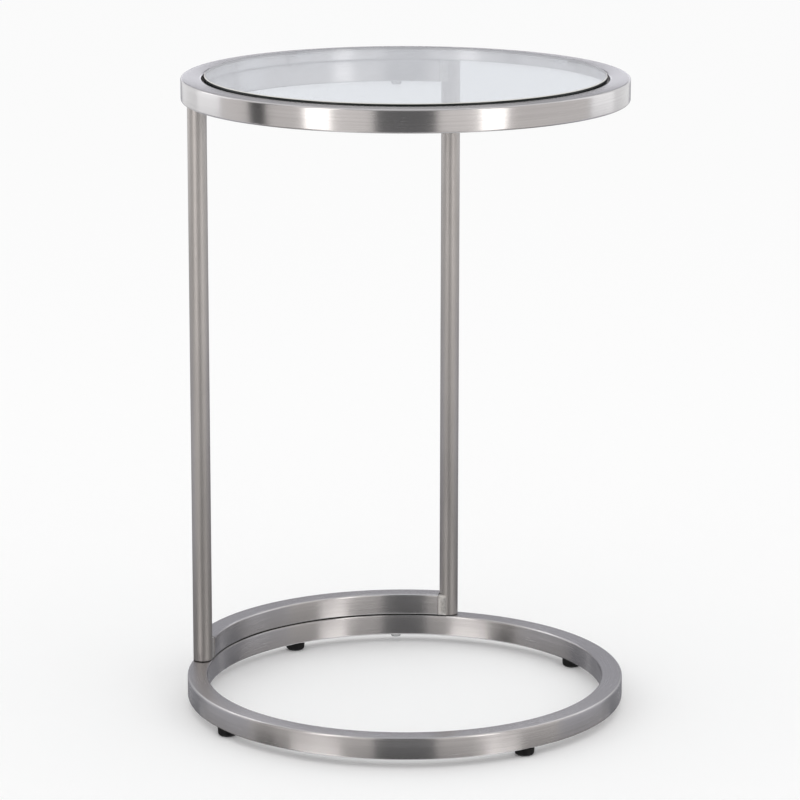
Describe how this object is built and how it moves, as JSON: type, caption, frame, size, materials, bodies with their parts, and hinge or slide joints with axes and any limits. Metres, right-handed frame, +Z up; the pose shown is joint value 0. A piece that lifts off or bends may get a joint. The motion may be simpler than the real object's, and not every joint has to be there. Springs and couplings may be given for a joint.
{
  "type": "side table",
  "caption": "C shaped side table: glass top inset in a ring of bent tube, round posts and arcs at the back, round base ring on domed feet.",
  "frame": {"origin": "on the floor under the centre of the base ring, where the feet stand", "axes": "+Z up, +Y towards the closed back of the C, where the posts and arcs are, +X to the right seen from the open front"},
  "size_m": [0.43, 0.43, 0.6252],
  "materials": {
    "brushed_steel": "satin brushed along the tube",
    "weld_metal": "as welded, lightly dressed",
    "zinc_steel": "bright zinc plate",
    "clear_glass": "clear, polished edge",
    "clear_pad": "clear soft plastic",
    "black_rubber": "matt black"
  },
  "bodies": {
    "frame": {"top_ring": "brushed_steel", "upper_arc": "brushed_steel", "lower_arc": "brushed_steel", "base_ring": "brushed_steel", "post_left": "brushed_steel", "post_right": "brushed_steel", "glass_tab_back": "brushed_steel", "glass_tab_right": "brushed_steel", "glass_tab_front": "brushed_steel", "glass_tab_left": "brushed_steel", "weld_upper_left": "weld_metal", "weld_upper_right": "weld_metal", "weld_lower_left": "weld_metal", "weld_lower_right": "weld_metal", "upper_bolts": "zinc_steel", "upper_washers": "zinc_steel", "upper_inserts": "zinc_steel", "lower_bolts": "zinc_steel", "lower_washers": "zinc_steel", "lower_inserts": "zinc_steel", "glass_pads": "clear_pad", "feet": "black_rubber"},
    "glass": {"glass_top": "clear_glass"}
  },
  "joints": [
    {"name": "glass_lift", "type": "slide", "parent": "frame", "child": "glass", "axis": [0, 0, 1], "range_m": [0, 0.05]}
  ]
}
